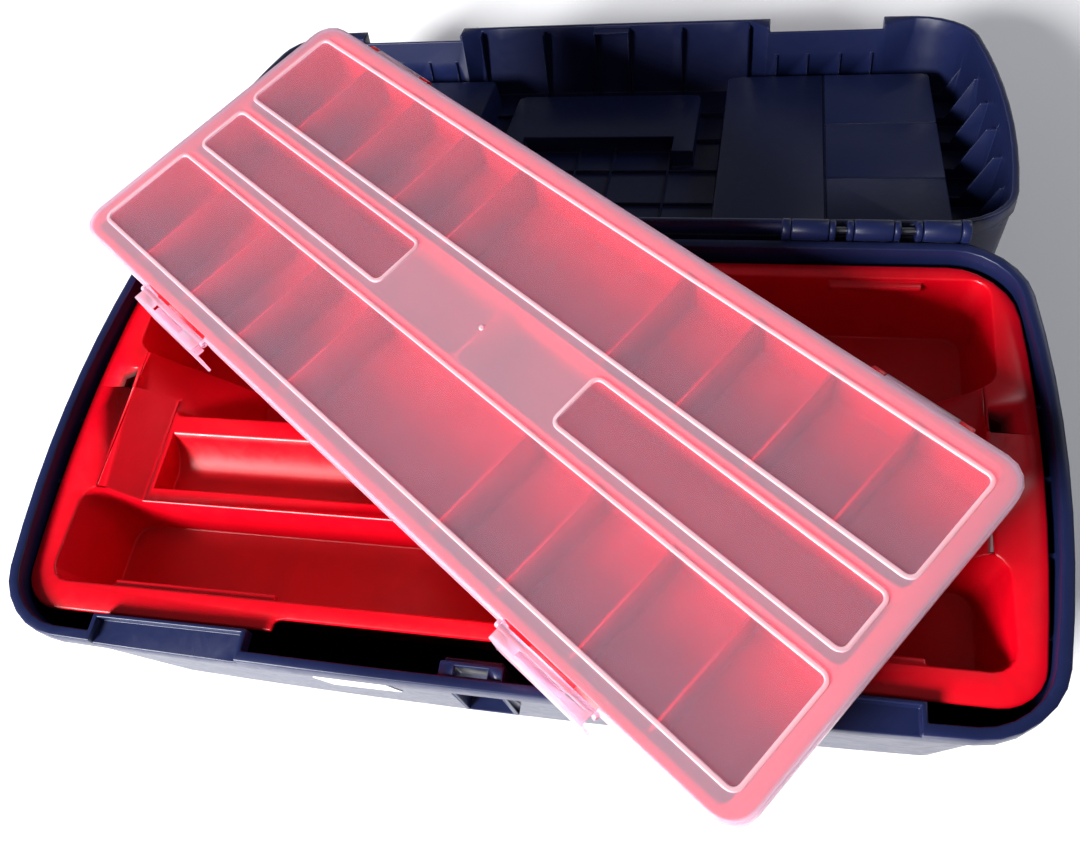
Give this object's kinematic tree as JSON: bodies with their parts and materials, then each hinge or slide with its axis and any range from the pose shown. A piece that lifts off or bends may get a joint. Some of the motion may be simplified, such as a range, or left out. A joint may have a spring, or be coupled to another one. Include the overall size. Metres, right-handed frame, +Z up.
{
  "type": "toolbox with tray",
  "caption": "Plastic toolbox with swung-back lid, lift-out tray and a clear-lidded organizer box lying across it.",
  "frame": {"origin": "centre of the base's underside, on the floor", "axes": "X along the length, +Y towards the lid's hinge, +Z up"},
  "size_m": [0.6, 0.6485, 0.2227],
  "materials": {
    "navy_plastic": "moulded polypropylene, satin gloss",
    "red_plastic": "moulded polypropylene, satin gloss",
    "frosted_plastic": "frosted translucent polypropylene",
    "clear_plastic": "translucent polypropylene",
    "steel": "drawn steel rod",
    "label": "blank printed film"
  },
  "bodies": {
    "base": {"base_shell": "navy_plastic", "hinge_pin_left": "steel", "hinge_pin_right": "steel", "front_label": "label"},
    "lid": {"lid_shell": "navy_plastic", "latch_pin_left": "steel", "latch_pin_right": "steel", "handle_pin_left": "steel", "handle_pin_right": "steel"},
    "latch_left": {"lid_latch_left": "red_plastic"},
    "latch_right": {"lid_latch_right": "red_plastic"},
    "handle": {"carry_handle": "red_plastic"},
    "cover_left": {"pocket_cover_left": "clear_plastic"},
    "cover_right": {"pocket_cover_right": "clear_plastic"},
    "tray": {"tray": "red_plastic"},
    "organizer": {"organizer_base": "red_plastic", "organizer_dividers": "red_plastic", "organizer_pin_left": "steel", "organizer_pin_right": "steel"},
    "organizer_lid": {"organizer_lid": "frosted_plastic"},
    "organizer_latch_left": {"organizer_latch_left": "frosted_plastic"},
    "organizer_latch_right": {"organizer_latch_right": "frosted_plastic"}
  },
  "joints": [
    {"name": "lid_hinge", "type": "hinge", "parent": "base", "child": "lid", "pos_m": [0, 0.1555, 0.169], "axis": [1, 0, 0], "range_deg": [0, 196]},
    {"name": "latch_left_pivot", "type": "hinge", "parent": "lid", "child": "latch_left", "pos_m": [-0.178, 0.43877, 0.05761], "axis": [1, 0, 0], "range_deg": [0, 159]},
    {"name": "latch_right_pivot", "type": "hinge", "parent": "lid", "child": "latch_right", "pos_m": [0.178, 0.43877, 0.05761], "axis": [1, 0, 0], "range_deg": [0, 159]},
    {"name": "handle_pivot", "type": "hinge", "parent": "lid", "child": "handle", "pos_m": [0, 0.31577, 0.06583], "axis": [-1, 0, 0], "range_deg": [0, 95]},
    {"name": "cover_left_hinge", "type": "hinge", "parent": "lid", "child": "cover_left", "pos_m": [-0.099, 0.28717, 0.06404], "axis": [0, -0.9613, 0.2756], "range_deg": [0, 95]},
    {"name": "cover_right_hinge", "type": "hinge", "parent": "lid", "child": "cover_right", "pos_m": [0.099, 0.28717, 0.06404], "axis": [0, 0.9613, -0.2756], "range_deg": [0, 95]},
    {"name": "tray_lift", "type": "slide", "parent": "base", "child": "tray", "axis": [0, 0, -1], "range_m": [-0.12, 0]},
    {"name": "organizer_slide", "type": "slide", "parent": "tray", "child": "organizer", "axis": [0, -1, 0], "range_m": [0, 0.8]},
    {"name": "organizer_lid_hinge", "type": "hinge", "parent": "organizer", "child": "organizer_lid", "pos_m": [0.05236, 0.13827, 0.20586], "axis": [-0.809, 0.5876, 0.0155], "range_deg": [0, 110]},
    {"name": "organizer_latch_left_pivot", "type": "hinge", "parent": "organizer_lid", "child": "organizer_latch_left", "pos_m": [-0.21302, 0.0467, 0.21245], "axis": [-0.809, 0.5876, 0.0155], "range_deg": [0, 100]},
    {"name": "organizer_latch_right_pivot", "type": "hinge", "parent": "organizer_lid", "child": "organizer_latch_right", "pos_m": [0.04748, -0.1425, 0.20746], "axis": [-0.809, 0.5876, 0.0155], "range_deg": [0, 100]}
  ],
  "couplings": [
    {"joint": "organizer_slide", "follows": "lid_hinge", "m_per_rad": 0.23}
  ]
}
